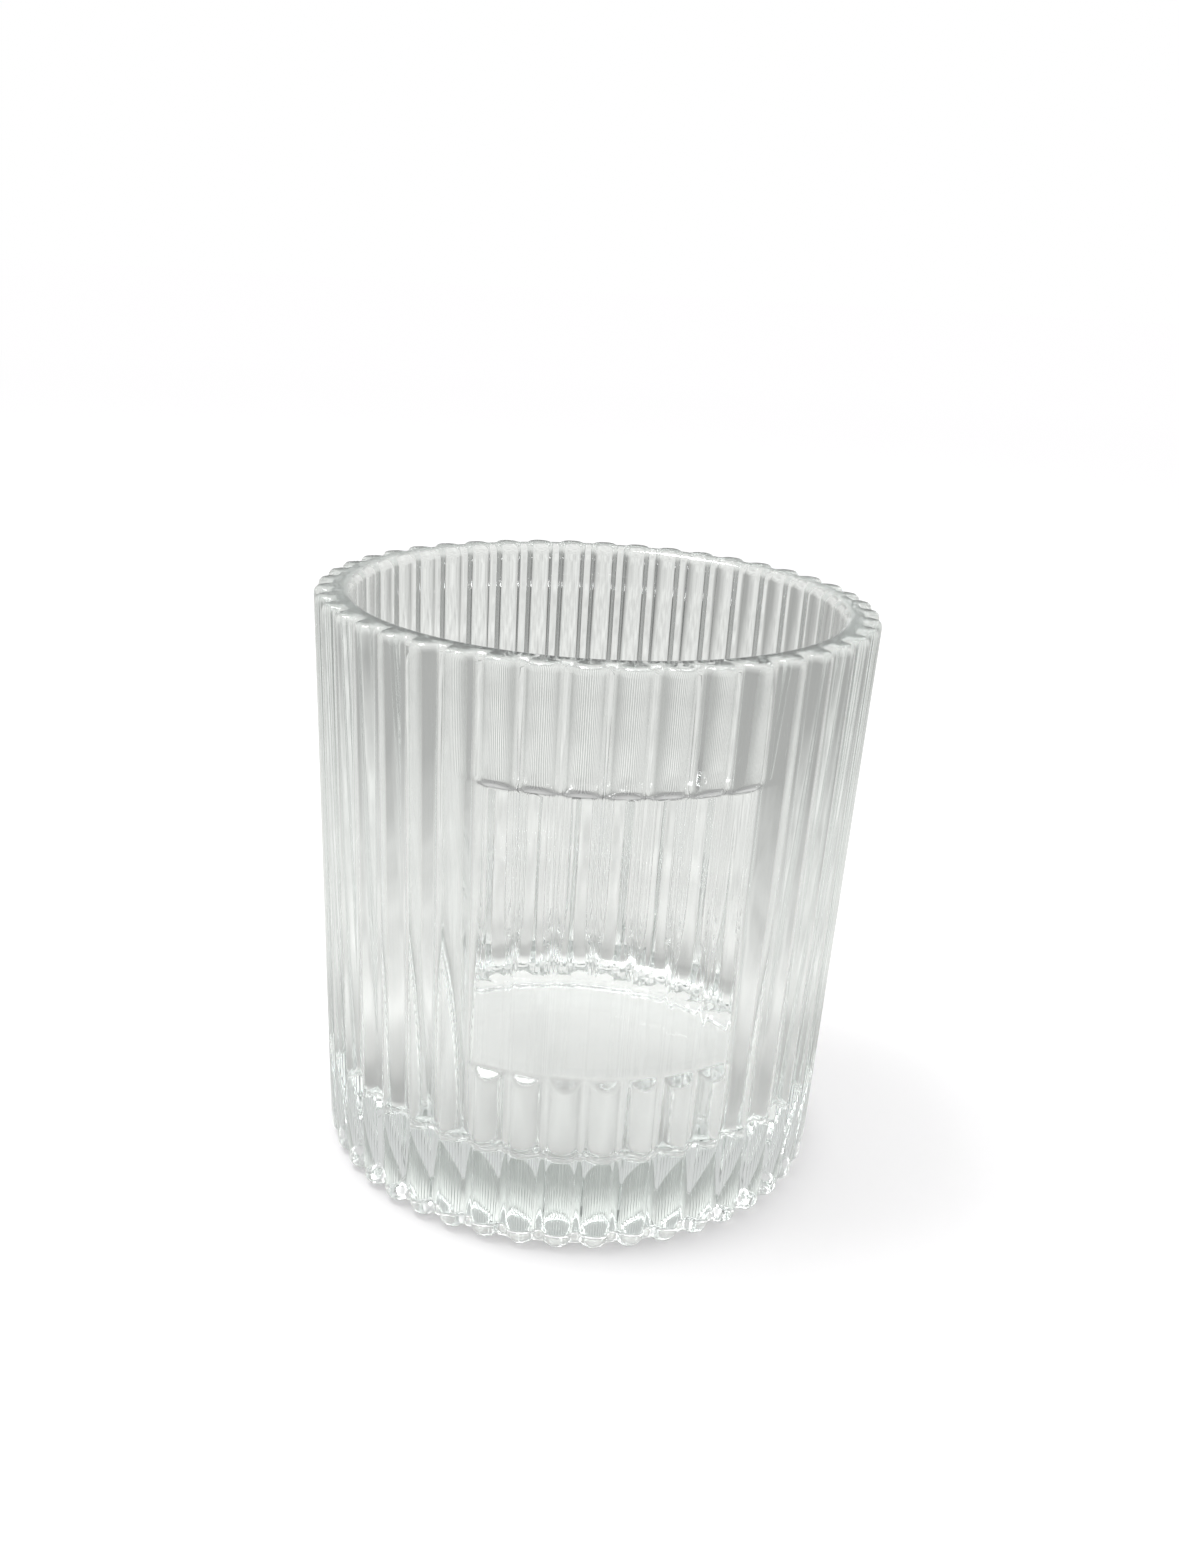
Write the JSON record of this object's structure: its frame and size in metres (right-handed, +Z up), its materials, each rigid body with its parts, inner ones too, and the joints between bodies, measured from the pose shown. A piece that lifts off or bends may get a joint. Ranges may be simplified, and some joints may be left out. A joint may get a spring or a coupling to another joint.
{
  "type": "chai glass",
  "caption": "Clear pressed-glass chai tumbler, slightly tapered, with upright half-round ribs, a smooth sunken window on one side, a rounded lip and a heavy base.",
  "frame": {"origin": "centre of the base, on the surface that the glass stands on", "axes": "+Z up out of the mouth, the smooth window faces -Y"},
  "size_m": [0.076, 0.076, 0.08],
  "materials": {
    "clear_glass": "clear pressed soda glass with a faint green-grey tint, smooth and fire-polished"
  },
  "bodies": {
    "root": {"glass_body": "clear_glass"}
  },
  "joints": []
}
